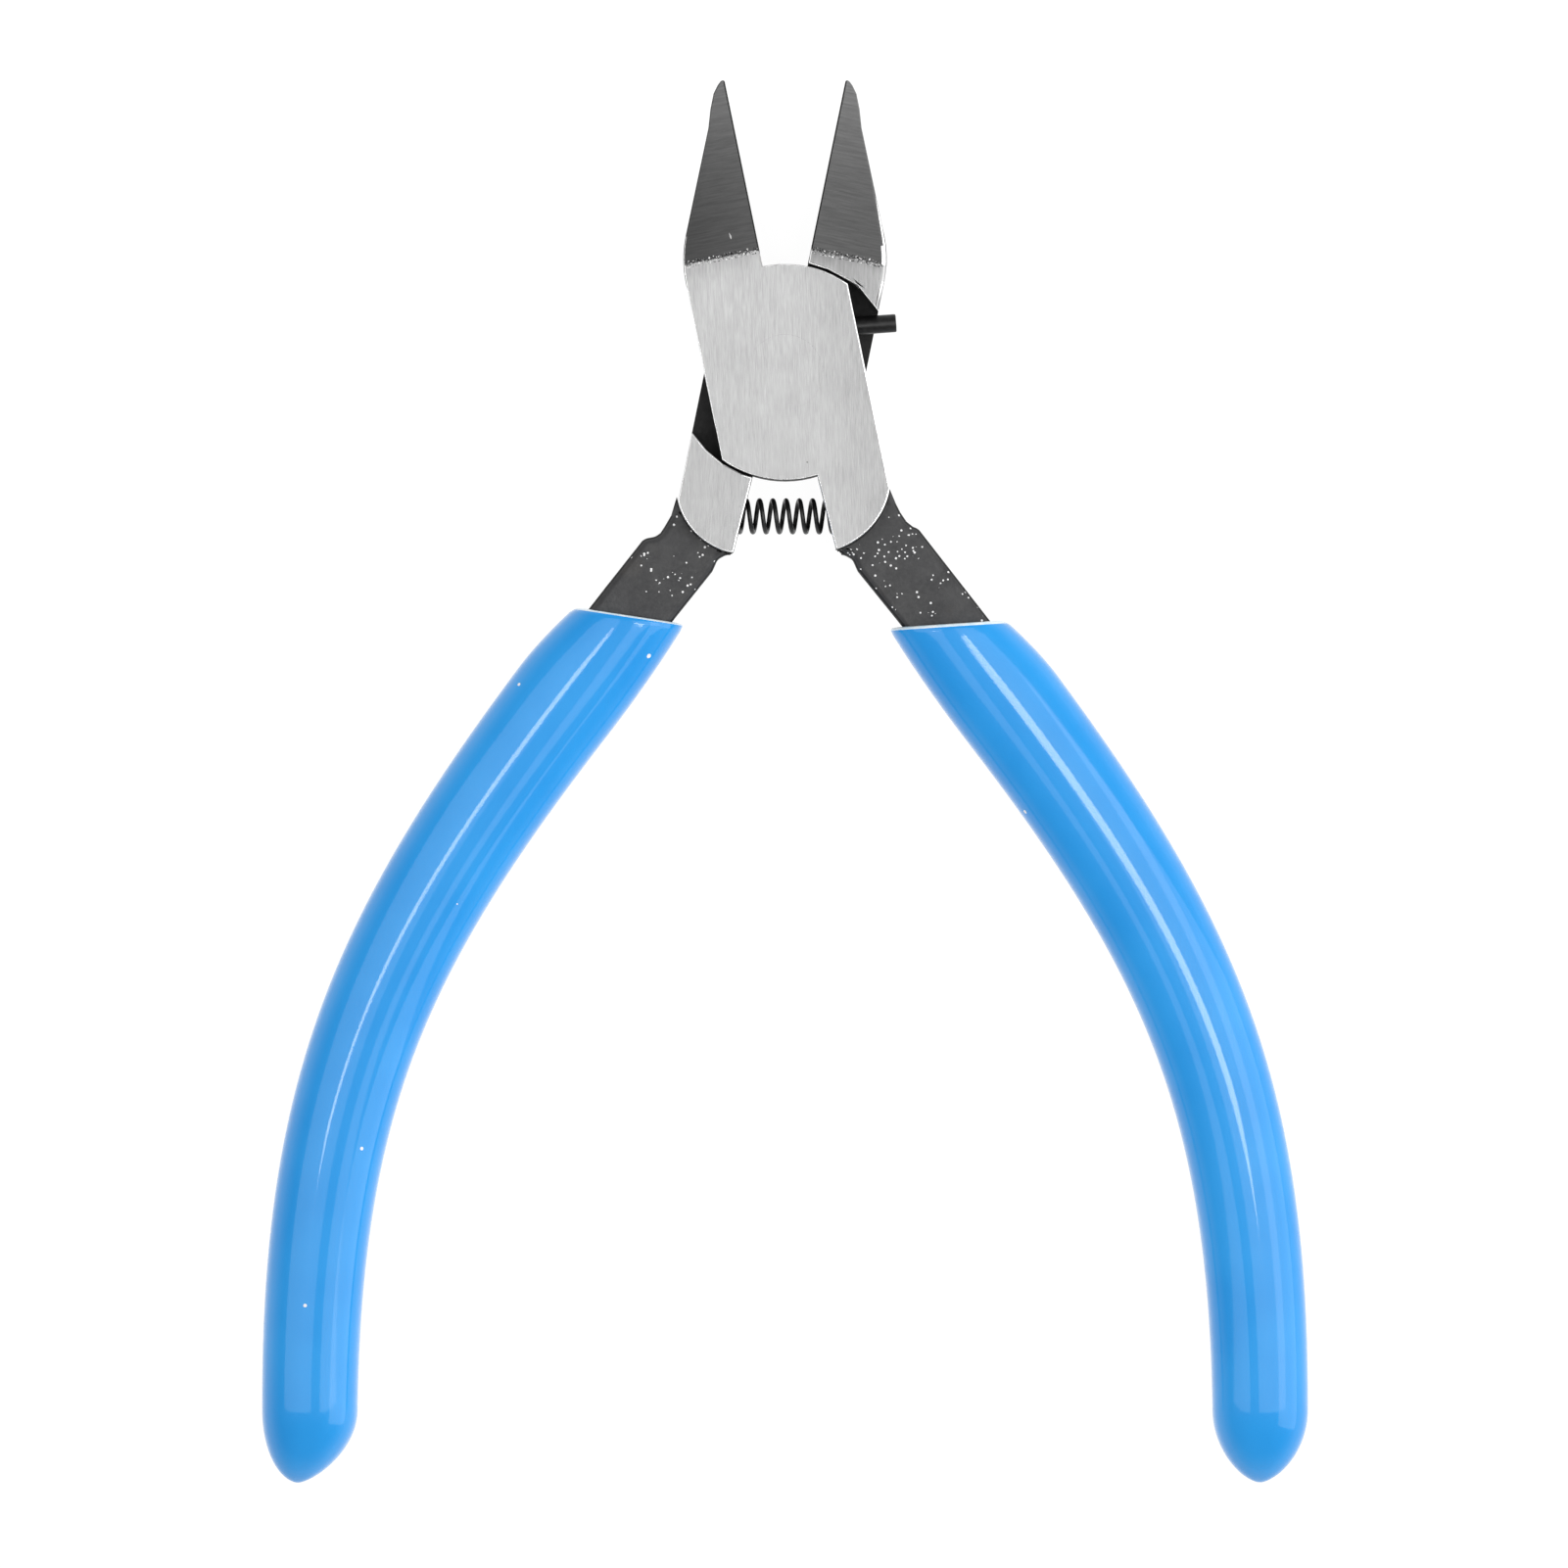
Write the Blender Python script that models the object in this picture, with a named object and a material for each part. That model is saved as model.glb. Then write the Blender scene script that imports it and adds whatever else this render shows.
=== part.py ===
"""Flush cut pliers: two forged levers in a lap joint, a rivet, an opening spring, a stop pin and two sleeve grips.

Frame: metres, +Z up. The pliers lie flat on the back of their joint (Z = 0). The rivet's axis is Z through
the origin, and +Y runs from the rivet to the jaw tips, midway between the levers as the spring holds them open.
Each lever is drawn closed, with its cutting edge along Y, and then turned open about the rivet. The front
lever has the left jaw, the front half of the joint and the right handle, and the rear lever has the rest.
"""
from math import atan2, ceil, cos, degrees, pi, radians, sin, sqrt, tan

import bmesh
import bpy
from mathutils import Vector

MM = 0.001
FRONT, REAR = -1, 1             # the side of the centre line that each lever's jaw is on

# Driving dimensions, in millimetres and degrees
HEAD_THICKNESS = 8.0
OPEN_HALF_ANGLE = 11.6          # each lever's turn from closed to where the spring and the stop pin hold it
CLEARANCE = 0.3                 # between neighbouring pieces
EDGE_SETBACK = 0.05             # of each cutting edge from the centre line when the jaws are closed
HEAD_HALF_WIDTH = 6.95
TIP_Y = 26.2
PLATE_RADIUS = 9.5              # of each lever's half-thickness joint plate
SHOULDER_RADIUS = 9.72          # of the recess that the other lever's plate turns in

JAW_OUTER_EDGE = [(-0.35, TIP_Y), (-0.72, 25.87), (-1.22, 25.22), (-1.76, 23.95), (-2.27, 22.35)]
JAW_CHEEK_RADIUS = 10.0
JAW_CHEEK_Y = 9.48
JAW_CHEEK_ANGLE = 23.1
JAW_FRONT_Y = 10.95             # where the front of the jaw starts to slope
JAW_FRONT_SLOPE = 8.0
JAW_BACK_Y = 12.0
JAW_BACK_SLOPE = 12.9
BEVEL_HEEL_Y = 10.3
BEVEL_LEAN = 0.5                # the cutting bevel's sideways run for each unit of depth
EDGE_LAND = 0.3

NECK_INNER_TOP_X = 0.95
NECK_INNER_X = 1.27
GROUND_FACE_CENTRE = {FRONT: (0.7, -9.45), REAR: (1.5, -10.45)}
GROUND_FACE_RADIUS = {FRONT: 6.68, REAR: 5.98}
NECK_INNER_CORNER = [(2.2, -12.5), (1.3, -16.6), (1.85, -16.7), (2.5, -17.25)]
NECK_OUTER_CORNER = {           # ground unevenly, so that the two levers differ
    FRONT: [(8.26, -15.5), (7.81, -14.96), (7.44, -14.07), (7.21, -13.22)],
    REAR: [(9.1, -16.75), (8.75, -16.6), (8.24, -16.4), (7.88, -16.0), (7.63, -15.38), (7.26, -14.3)],
}
NECK_TOP = {FRONT: [(6.93, -11.8), (6.2, -11.0)], REAR: [(6.93, -12.9), (6.2, -12.0)]}

HANDLE_CURVE = [(4.5, -14.7), (23.5, -51.6), (29.6, -65.4), (21.8, -101.2)]
TANG_INNER_START = 0.02         # places along the handle curve, from 0 at its start to 1 at its end
TANG_OUTER_START = {FRONT: 0.0235, REAR: 0.035}
TANG_END = 0.94
TANG_STEPS = 20
TANG_HALF_WIDTH_TOP = 3.25
TANG_HALF_WIDTH_BOTTOM = 2.6
TANG_THICKNESS = 5.0
TANG_CHAMFER = 0.8
TANG_EDGE_ANGLE = 60            # edges sharper than this are chamfered

GRIP_START = {FRONT: 0.0935, REAR: 0.085}
GRIP_BODY_END = 0.966
GRIP_END = 1.025
GRIP_TIP_SHARE = 0.985          # how much of the rounded end there is before its small flat tip
GRIP_END_FULLNESS = 0.65        # exponent of the rounded end, 0.5 for an ellipse and more for a pointed one
LEFT_GRIP_END_SHIFT = 1.1       # outwards, of the left grip's tip
SOCKET_END_GAP = 0.003          # beyond the tang's end, as places along the handle curve
GRIP_STEPS = 16
GRIP_END_STEPS = 5
GRIP_SIDES = 20
GRIP_HALF_WIDTH_TOP = 5.05
GRIP_HALF_WIDTH_BOTTOM = 4.2
GRIP_HALF_THICKNESS = HEAD_THICKNESS / 2
GRIP_FACE_WALL = 1.2
GRIP_ROUNDNESS = 2.5            # exponent of the outer section, 2 for an ellipse and more for a squarer one
GRIP_SMOOTH_ANGLE = 50
SOCKET_SQUARENESS = 6.0
RIM_SLANT = {FRONT: 0.69, REAR: 0.57}  # the rim's run along the handle for each unit across it
RIM_SLANT_LENGTH = 0.1
RIM_TAPER = 0.75                # taken off the half-width at the rim
RIM_TAPER_LENGTH = 0.12

RIVET_RADIUS = 2.2
RIVET_HEAD_HEIGHT = 0.8
ROUND_SIDES = 32
ROUND_SMOOTH_ANGLE = 30
ARC_STEP = 4.7                  # the most degrees between two points of an outline's arc

SPRING_Y = -12.6
SPRING_RADIUS = 1.4             # to the middle of the wire
SPRING_WIRE_RADIUS = 0.21
SPRING_PITCH = 1.15
SPRING_TURNS = 10.5
SPRING_POINTS_PER_TURN = 14
SOCKET_RADIUS = 1.95
SOCKET_MOUTH_X = 2.5
SOCKET_BOTTOM_X = 6.4

STOP_RADIUS = 0.8
STOP_LENGTH = 5.7
STOP_CENTRE = (7.6, 2.65, 6.1)
STOP_LEAN = -7.5                # of the pin from square to the plate's edge

OVERCUT = 3.0                   # how far a cutter reaches past the faces that it cuts through
SLOPE_CUTTER_HALF_WIDTH = 12.0
BEVEL_CUTTER_SIDE = 6.0

# Finishes: base colour, roughness and metallic
FORGED_STEEL = ((0.33, 0.33, 0.34), 0.4, 0.9)
RIVET_STEEL = ((0.62, 0.62, 0.63), 0.35, 1.0)
DARK_WIRE = ((0.03, 0.03, 0.035), 0.4, 0.8)
DARK_PIN = ((0.04, 0.04, 0.045), 0.4, 0.8)
BLUE_VINYL = ((0.05, 0.32, 0.83), 0.25, 0.0)

MID_Z = HEAD_THICKNESS / 2


def clear_scene():
    for item in list(bpy.data.objects):
        bpy.data.objects.remove(item, do_unlink=True)


def material(name, colour, roughness, metallic):
    made = bpy.data.materials.new(name)
    made.use_nodes = True
    shader = made.node_tree.nodes["Principled BSDF"]
    shader.inputs["Base Color"].default_value = (*colour, 1.0)
    shader.inputs["Roughness"].default_value = roughness
    shader.inputs["Metallic"].default_value = metallic
    return made


def add_object(name, mesh, parent=None):
    made = bpy.data.objects.new(name, mesh)
    bpy.context.scene.collection.objects.link(made)
    made.parent = parent
    return made


def arc(centre, radius, start, end):
    """Points on a circle from one angle to another, in degrees."""
    steps = ceil(abs(end - start) / ARC_STEP)
    turns = [radians(start + (end - start) * step / steps) for step in range(steps + 1)]
    return [(centre[0] + radius * cos(turn), centre[1] + radius * sin(turn)) for turn in turns]


def loft(name, rings, parent=None):
    """A closed solid through rings of points (in millimetres) that all have the same number of points."""
    mesh = bpy.data.meshes.new(name)
    work = bmesh.new()
    loops = [[work.verts.new(Vector(point) * MM) for point in ring] for ring in rings]
    count = len(loops[0])
    for low, high in zip(loops, loops[1:]):
        for side in range(count):
            after = (side + 1) % count
            work.faces.new((low[side], low[after], high[after], high[side]))
    work.faces.new(loops[0])
    work.faces.new(loops[-1])
    bmesh.ops.recalc_face_normals(work, faces=work.faces)
    work.to_mesh(mesh)
    work.free()
    return add_object(name, mesh, parent)


def prism(name, outline, low, high, parent=None):
    """A flat outline in X and Y, extruded from one height to another."""
    return loft(name, [[(x, y, z) for x, y in outline] for z in (low, high)], parent)


def slab(name, outline, half_width, parent):
    """A flat outline in Y and Z, extruded across X."""
    return loft(name, [[(x, y, z) for y, z in outline] for x in (-half_width, half_width)], parent)


def turned(name, profile, parent=None):
    """A solid turned about Z, from a profile of (radius, height) points."""
    angles = [2 * pi * side / ROUND_SIDES for side in range(ROUND_SIDES)]
    rings = [[(radius * cos(a), radius * sin(a), height) for a in angles] for radius, height in profile]
    return loft(name, rings, parent)


def rod(name, radius, start, end, centre, parent=None):
    """A cylinder along its own X, between two distances from its centre."""
    angles = [2 * pi * side / ROUND_SIDES for side in range(ROUND_SIDES)]
    rings = [[(x, radius * cos(a), radius * sin(a)) for a in angles] for x in (start, end)]
    made = loft(name, rings, parent)
    made.location = Vector(centre) * MM
    return made


def combine(target, tool, operation):
    """Join a tool to the target or cut it away, and keep the tool as a hidden guide."""
    tool.hide_render = True
    tool.display_type = "WIRE"
    step = target.modifiers.new(tool.name, "BOOLEAN")
    step.operation = operation
    step.solver = "EXACT"
    step.object = tool


def smooth(item, angle=ROUND_SMOOTH_ANGLE):
    item.data.shade_smooth()
    item.data.set_sharp_from_angle(angle=radians(angle))


def handle_point(place):
    """A point on the handle's centre line and the unit direction there, on the front lever's side."""
    start, lead, trail, end = [Vector(point) for point in HANDLE_CURVE]
    rest = 1 - place
    point = start * rest**3 + lead * 3 * rest**2 * place + trail * 3 * rest * place**2 + end * place**3
    along = (lead - start) * rest**2 + (trail - lead) * 2 * rest * place + (end - trail) * place**2
    return point, along.normalized()


def handle_offset(place, sideways):
    """A point beside the centre line: positive is the handle's outer side."""
    point, along = handle_point(place)
    return point + Vector((-along.y, along.x)) * sideways


def tang_half_width(place):
    return TANG_HALF_WIDTH_TOP + (TANG_HALF_WIDTH_BOTTOM - TANG_HALF_WIDTH_TOP) * place


def grip_half_width(place, start):
    share = (place - start) / (GRIP_END - start)
    near_rim = max(0.0, 1 - (place - start) / RIM_TAPER_LENGTH)
    plain = GRIP_HALF_WIDTH_TOP + (GRIP_HALF_WIDTH_BOTTOM - GRIP_HALF_WIDTH_TOP) * share
    return plain - RIM_TAPER * near_rim**2


def on_side(outline, jaw_side):
    """An outline drawn for the front lever, mirrored for the rear one."""
    return [(-jaw_side * x, y) for x, y in outline]


def head_outline(jaw_side):
    """Jaw, joint plate and neck of a lever when closed, drawn as the front one, anticlockwise from the tip."""
    plate_low_y = -sqrt(PLATE_RADIUS**2 - HEAD_HALF_WIDTH**2)
    plate_low = degrees(atan2(plate_low_y, -HEAD_HALF_WIDTH))
    neck_y = -sqrt(PLATE_RADIUS**2 - NECK_INNER_TOP_X**2)
    neck = degrees(atan2(neck_y, NECK_INNER_TOP_X))
    plate_high = degrees(atan2(-plate_low_y, HEAD_HALF_WIDTH))
    face_centre, face_radius = GROUND_FACE_CENTRE[jaw_side], GROUND_FACE_RADIUS[jaw_side]
    face_inner_x, face_outer_x = NECK_INNER_X - face_centre[0], HEAD_HALF_WIDTH - face_centre[0]
    face_inner = degrees(atan2(-sqrt(face_radius**2 - face_inner_x**2), face_inner_x))
    face_outer = degrees(atan2(-sqrt(face_radius**2 - face_outer_x**2), face_outer_x))
    cheek_centre = (JAW_CHEEK_RADIUS - HEAD_HALF_WIDTH, JAW_CHEEK_Y)
    outline = [(-EDGE_SETBACK, TIP_Y)] + JAW_OUTER_EDGE
    outline += arc(cheek_centre, JAW_CHEEK_RADIUS, 180 - JAW_CHEEK_ANGLE, 180)
    outline += arc((0, 0), PLATE_RADIUS, plate_low, neck)
    outline += arc(face_centre, face_radius, face_inner, face_outer)
    outline += arc((0, 0), PLATE_RADIUS, plate_high, 90)
    outline.append((-EDGE_SETBACK, PLATE_RADIUS))
    return outline


def tang_outline(jaw_side):
    """The neck's lower corner and the tang inside the grip when closed, drawn as the front lever's."""
    def places(start):
        return [start + (TANG_END - start) * step / TANG_STEPS for step in range(TANG_STEPS + 1)]

    inner = [handle_offset(place, -tang_half_width(place)) for place in places(TANG_INNER_START)]
    outer = [handle_offset(place, tang_half_width(place)) for place in places(TANG_OUTER_START[jaw_side])]
    path = [(point.x, point.y) for point in inner + outer[::-1]]
    return NECK_INNER_CORNER + path + NECK_OUTER_CORNER[jaw_side] + NECK_TOP[jaw_side]


def front_slope(y):
    """Height of the jaw's front at a distance from the rivet."""
    return HEAD_THICKNESS - (y - JAW_FRONT_Y) * tan(radians(JAW_FRONT_SLOPE))


def shape_jaw(lever, jaw_side, frame):
    """Cut the sloping front and back of the jaw, and the cutting bevel behind its edge."""
    beyond = TIP_Y + OVERCUT
    above = HEAD_THICKNESS + OVERCUT
    below = -OVERCUT
    back_rise = (beyond - JAW_BACK_Y) * tan(radians(JAW_BACK_SLOPE))
    front = [(JAW_FRONT_Y, HEAD_THICKNESS), (beyond, front_slope(beyond))]
    front += [(beyond, above), (JAW_FRONT_Y, above)]
    back = [(JAW_BACK_Y, 0), (JAW_BACK_Y, below), (beyond, below), (beyond, back_rise)]
    combine(lever, slab(lever.name + "_front_slope", front, SLOPE_CUTTER_HALF_WIDTH, frame), "DIFFERENCE")
    combine(lever, slab(lever.name + "_back_slope", back, SLOPE_CUTTER_HALF_WIDTH, frame), "DIFFERENCE")
    rings = []
    for y in (BEVEL_HEEL_Y, beyond):
        edge_z = front_slope(y) - EDGE_LAND
        run = BEVEL_LEAN * (edge_z - below)
        section = [(-EDGE_SETBACK, edge_z), (-EDGE_SETBACK - run, below)]
        section += [(BEVEL_CUTTER_SIDE, below), (BEVEL_CUTTER_SIDE, edge_z)]
        rings.append([(-jaw_side * x, y, z) for x, z in section])
    combine(lever, loft(lever.name + "_bevel", rings, frame), "DIFFERENCE")


def rivet_profile(gap, beyond):
    """Flush with the joint and countersunk at 45 degrees at both ends, or the hole with a gap round it."""
    wide = RIVET_RADIUS + RIVET_HEAD_HEIGHT + gap + beyond
    narrow = RIVET_RADIUS + gap
    return [
        (wide, -beyond),
        (narrow, RIVET_HEAD_HEIGHT),
        (narrow, HEAD_THICKNESS - RIVET_HEAD_HEIGHT),
        (wide, HEAD_THICKNESS + beyond),
    ]


def make_lever(name, jaw_side, finish, rivet_hole, frame):
    """One lever, with its half of the lap joint, the rivet hole and the spring's blind socket."""
    lever = prism(name, on_side(head_outline(jaw_side), jaw_side), 0, HEAD_THICKNESS, frame)
    low, high = MID_Z - TANG_THICKNESS / 2, MID_Z + TANG_THICKNESS / 2
    tang = prism(name + "_tang", on_side(tang_outline(jaw_side), jaw_side), low, high, frame)
    edges = tang.modifiers.new("edges", "BEVEL")
    edges.width = TANG_CHAMFER * MM
    edges.segments = 1
    edges.limit_method = "ANGLE"
    edges.angle_limit = radians(TANG_EDGE_ANGLE)
    combine(lever, tang, "UNION")
    shape_jaw(lever, jaw_side, frame)
    half_gap = CLEARANCE / 2
    if jaw_side == FRONT:
        lap = (-OVERCUT, MID_Z + half_gap)
    else:
        lap = (MID_Z - half_gap, HEAD_THICKNESS + OVERCUT)
    combine(lever, turned(name + "_lap", [(SHOULDER_RADIUS, z) for z in lap], frame), "DIFFERENCE")
    combine(lever, rivet_hole, "DIFFERENCE")
    ends = (-jaw_side * SOCKET_MOUTH_X, -jaw_side * SOCKET_BOTTOM_X)
    combine(lever, rod(name + "_socket", SOCKET_RADIUS, *ends, (0, SPRING_Y, MID_Z)), "DIFFERENCE")
    lever.data.materials.append(finish)
    return lever


def make_spring(finish):
    """An open-coiled compression spring between the blind sockets of the two necks."""
    wire = bpy.data.curves.new("return_spring", "CURVE")
    wire.dimensions = "3D"
    wire.bevel_depth = SPRING_WIRE_RADIUS * MM
    wire.bevel_resolution = 1
    wire.use_fill_caps = True
    count = round(SPRING_TURNS * SPRING_POINTS_PER_TURN)
    path = wire.splines.new("POLY")
    path.points.add(count)
    for step in range(count + 1):
        turn = step / SPRING_POINTS_PER_TURN
        x = (turn - SPRING_TURNS / 2) * SPRING_PITCH
        y = SPRING_Y + SPRING_RADIUS * cos(2 * pi * turn)
        z = MID_Z + SPRING_RADIUS * sin(2 * pi * turn)
        path.points[step].co = (x * MM, y * MM, z * MM, 1)
    wire.materials.append(finish)
    return add_object("return_spring", wire)


def section_point(half_width, half_thickness, squareness, angle):
    """A point on a superellipse: sideways from the handle's centre line, and up from mid-thickness."""
    def reach(value):
        return abs(value) ** (2 / squareness) * (1 if value >= 0 else -1)

    return half_width * reach(cos(angle)), half_thickness * reach(sin(angle))


def grip_ring(place, half_width, half_thickness, squareness, jaw_side, shift=0.0):
    """One ring of a grip's surface; near the rim the rings lean until they run straight across the handle."""
    lean = RIM_SLANT[jaw_side] * max(0.0, 1 - (place - GRIP_START[jaw_side]) / RIM_SLANT_LENGTH)
    ring = []
    for side in range(GRIP_SIDES):
        angle = 2 * pi * (side + 0.5) / GRIP_SIDES
        sideways, up = section_point(half_width, half_thickness, squareness, angle)
        along = handle_point(place)[1]
        point = handle_offset(place, sideways + shift) + along * lean * sideways
        ring.append((-jaw_side * point.x, point.y, MID_Z + up))
    return ring


def make_grip(name, jaw_side, end_shift, finish, frame):
    """A sleeve over the tang: its socket up to the rim, then the outer surface down to the rounded end."""
    rings = []
    start = GRIP_START[jaw_side]
    socket_end = TANG_END + SOCKET_END_GAP
    for step in range(GRIP_STEPS, -1, -1):
        place = start + (socket_end - start) * step / GRIP_STEPS
        half_width = tang_half_width(place) + CLEARANCE
        half_thickness = GRIP_HALF_THICKNESS - GRIP_FACE_WALL
        rings.append(grip_ring(place, half_width, half_thickness, SOCKET_SQUARENESS, jaw_side))
    for step in range(GRIP_STEPS + 1):
        place = start + (GRIP_BODY_END - start) * step / GRIP_STEPS
        rings.append(grip_ring(place, grip_half_width(place, start), GRIP_HALF_THICKNESS, GRIP_ROUNDNESS, jaw_side))
    for step in range(1, GRIP_END_STEPS + 1):
        share = GRIP_TIP_SHARE * sin(pi / 2 * step / GRIP_END_STEPS)
        shrink = (1 - share**2) ** GRIP_END_FULLNESS
        place = GRIP_BODY_END + (GRIP_END - GRIP_BODY_END) * share
        half_width = grip_half_width(place, start) * shrink
        half_thickness = GRIP_HALF_THICKNESS * shrink
        shift = end_shift * share**2
        rings.append(grip_ring(place, half_width, half_thickness, GRIP_ROUNDNESS, jaw_side, shift))
    grip = loft(name, rings, frame)
    smooth(grip, GRIP_SMOOTH_ANGLE)
    grip.data.materials.append(finish)
    return grip


def make_rivet(finish, frame):
    rivet = turned("pivot_rivet", rivet_profile(0.0, 0.0), frame)
    smooth(rivet)
    rivet.data.materials.append(finish)
    return rivet


def make_stop_pin(lever, finish, frame):
    """A pin in the edge of the front plate that the rear lever's shoulder meets when the jaws are open."""
    reach = STOP_LENGTH / 2
    hole = rod("stop_pin_hole", STOP_RADIUS + CLEARANCE, -reach - CLEARANCE, reach, STOP_CENTRE, frame)
    pin = rod("stop_pin", STOP_RADIUS, -reach, reach, STOP_CENTRE, frame)
    for piece in (hole, pin):
        piece.rotation_euler.z = radians(STOP_LEAN)
    combine(lever, hole, "DIFFERENCE")
    smooth(pin)
    pin.data.materials.append(finish)
    return pin


def lever_frame(name, jaw_side):
    """An empty on the rivet's axis that turns one lever from closed to open."""
    frame = add_object(name, None)
    frame.rotation_euler.z = -jaw_side * radians(OPEN_HALF_ANGLE)
    return frame


def main():
    clear_scene()
    forged = material("forged_steel", *FORGED_STEEL)
    rivet_steel = material("rivet_steel", *RIVET_STEEL)
    dark_wire = material("spring_wire", *DARK_WIRE)
    dark_pin = material("stop_pin_steel", *DARK_PIN)
    vinyl = material("blue_vinyl", *BLUE_VINYL)
    front_frame = lever_frame("front_lever_frame", FRONT)
    rear_frame = lever_frame("rear_lever_frame", REAR)
    rivet_hole = turned("rivet_hole", rivet_profile(CLEARANCE, OVERCUT))
    front_lever = make_lever("front_lever", FRONT, forged, rivet_hole, front_frame)
    make_lever("rear_lever", REAR, forged, rivet_hole, rear_frame)
    make_stop_pin(front_lever, dark_pin, front_frame)
    make_rivet(rivet_steel, rear_frame)
    make_spring(dark_wire)
    make_grip("right_grip", FRONT, 0.0, vinyl, front_frame)
    make_grip("left_grip", REAR, LEFT_GRIP_END_SHIFT, vinyl, rear_frame)


main()
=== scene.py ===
"""The looks of the flush cut pliers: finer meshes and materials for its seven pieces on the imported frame.

Lengths are in millimetres and angles in degrees until they reach Blender. Each lever is described closed,
with its cutting edge along +Y, and is turned open about the rivet, which is the Z axis through the origin.
"""

from math import copysign, cos, pi, radians, sin

import bmesh
import bpy
from mathutils import Matrix, Vector


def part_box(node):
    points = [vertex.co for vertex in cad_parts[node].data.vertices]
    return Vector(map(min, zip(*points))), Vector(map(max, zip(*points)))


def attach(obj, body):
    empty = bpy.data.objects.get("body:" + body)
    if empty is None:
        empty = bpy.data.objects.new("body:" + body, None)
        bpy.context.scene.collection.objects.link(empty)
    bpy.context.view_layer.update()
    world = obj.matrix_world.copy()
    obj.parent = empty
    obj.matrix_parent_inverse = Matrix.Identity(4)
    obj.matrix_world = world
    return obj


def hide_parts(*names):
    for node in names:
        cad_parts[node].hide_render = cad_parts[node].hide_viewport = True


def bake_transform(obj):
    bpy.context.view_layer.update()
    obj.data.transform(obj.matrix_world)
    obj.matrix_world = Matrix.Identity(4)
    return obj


MM = 0.001
FRONT, REAR = -1, 1             # the side of the centre line that each lever's jaw is on
BODY_NAME = {FRONT: "front_lever_body", REAR: "rear_lever_body"}

# The levers' shape
OPEN_HALF_ANGLE = 11.6          # each lever's turn from closed to open
HEAD_THICKNESS = 8.0
MID_Z = HEAD_THICKNESS / 2
JAW_FRONT_Y = 10.95             # where the front of the jaw starts to slope
JAW_TIP_Y = 26.0                # where the jaws' painted light is brightest
CHEEK_END_Y = JAW_FRONT_Y + 3.5
PLATE_RADIUS = 9.5              # of the plates' round ends
SHOULDER_RADIUS = 9.72          # of the recess that the other lever's plate turns in
HOLE_RADIUS = 3.3               # of the rivet's hole, at the two faces
INNER_HALF_WIDTH = 6.8          # just inside the plates' edges
HEAD_END_Y = -17.0              # where the ground faces stop
FLANK_END_Y = -10.5             # where the bright side walls stop
SOCKET_Y, SOCKET_REACH = -12.6, 2.1         # the spring's socket
GROUND_ARC = {FRONT: ((0.7, -9.45), 6.68), REAR: ((1.5, -10.45), 5.98)}     # the ground face's lower edge

# The levers' edges
BEVEL = 0.45
FINE_EDGE = 0.24                # share of the bevel that the ground edges get
CUTTING_EDGE = 0.35
TANG_EDGE = 0.5
CHEEK_EDGE = 1.0                # the right jaw's worn cheek
SHARP_TURN = 25.0               # edges that turn more than this are creases
NEAR_FACE = 0.02                # an edge this close to the front or back face counts as on it
FLAT = 0.973                    # least Z part of a ground face's normal: the jaws' faces lean a little
STEEP = 0.72                    # most Z part of the normal of a bevel's steeper steps
WALL = 0.1                      # most Z part of a side wall's normal

# The levers' finishes, in the order of each lever's material slots
GROUND, SIDE, SCALE, RECESS_AND_SHADE, BRIGHT = range(5)
PLATE_LEVELS = (0.255, 0.41)    # reflectance of the dark and the bright grinding streaks
JAW_LEVELS = {FRONT: (0.078, 0.132), REAR: (0.118, 0.12)}       # reflectance at the heel, and its rise: painted light toward the tip, and painted shade that keeps the front lever's jaw darker
GRAIN_TURN = 2.0                # the plates' grain runs almost straight up the open tool
FLECK_LIMIT = {FRONT: 0.52, REAR: 0.6}      # patches of the scale above this are densely flecked

# The sleeves: places along the handle's curve run from 0 at its start to 1 at its end
HANDLE_CURVE = [(4.5, -14.7), (23.5, -51.6), (29.6, -65.4), (21.8, -101.2)]
GRIP_START = {FRONT: 0.0935, REAR: 0.085}
GRIP_BODY_END, GRIP_END = 0.966, 1.024
GRIP_HALF_WIDTH_TOP, GRIP_HALF_WIDTH_BOTTOM = 5.0, 4.15
GRIP_HALF_THICKNESS = 3.96
GRIP_SQUARENESS = 2.5           # 2 is an ellipse, and more is squarer
GRIP_RINGS, GRIP_END_RINGS, GRIP_SIDES = 110, 22, 72
FIRST_BODY_RING = 0.006         # how far past the lip the outside starts
GRIP_TIP_SHARE = 0.997
GRIP_END_FULLNESS = 0.62
LEFT_GRIP_END_SHIFT = 1.1       # the left sleeve's end leans outward
RIM_SLANT, RIM_SLANT_LENGTH = {FRONT: 0.69, REAR: 0.57}, 0.1
RIM_TAPER, RIM_TAPER_LENGTH = 0.75, 0.09
LIP_RADIUS = 0.45
LIP_RINGS = 5
HIGHLIGHT_RINGS = {FRONT: 4, REAR: 3}            # of the lip, painted pale as the highlight where they catch the light
SOCKET_HALF_WIDTH_TOP, SOCKET_HALF_WIDTH_BOTTOM = 3.5, 2.9
SOCKET_HALF_THICKNESS = 2.8
SOCKET_SQUARENESS = 6.0
SOCKET_END = 0.942

# The rivet, the spring and the pin
RIVET_FIT = 0.004               # gap round the rivet, too small to show
RIVET_HEAD = 0.8                # depth of its countersinks, which slope at 45 degrees
SPRING_WIRE_RADIUS, SPRING_COIL_RADIUS = 0.205, 1.4
SPRING_TURNS, SPRING_STEPS_PER_TURN, SPRING_PHASE = 10.2, 36, 0.41
SPRING_END_GAP = 0.3            # the wire's line stops this far inside the CAD spring's ends
PIN_RADIUS, PIN_HALF_LENGTH, PIN_CHAMFER = 0.8, 2.85, 0.12
PIN_LEAN = -7.5                 # from square to the plate's edge

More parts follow.
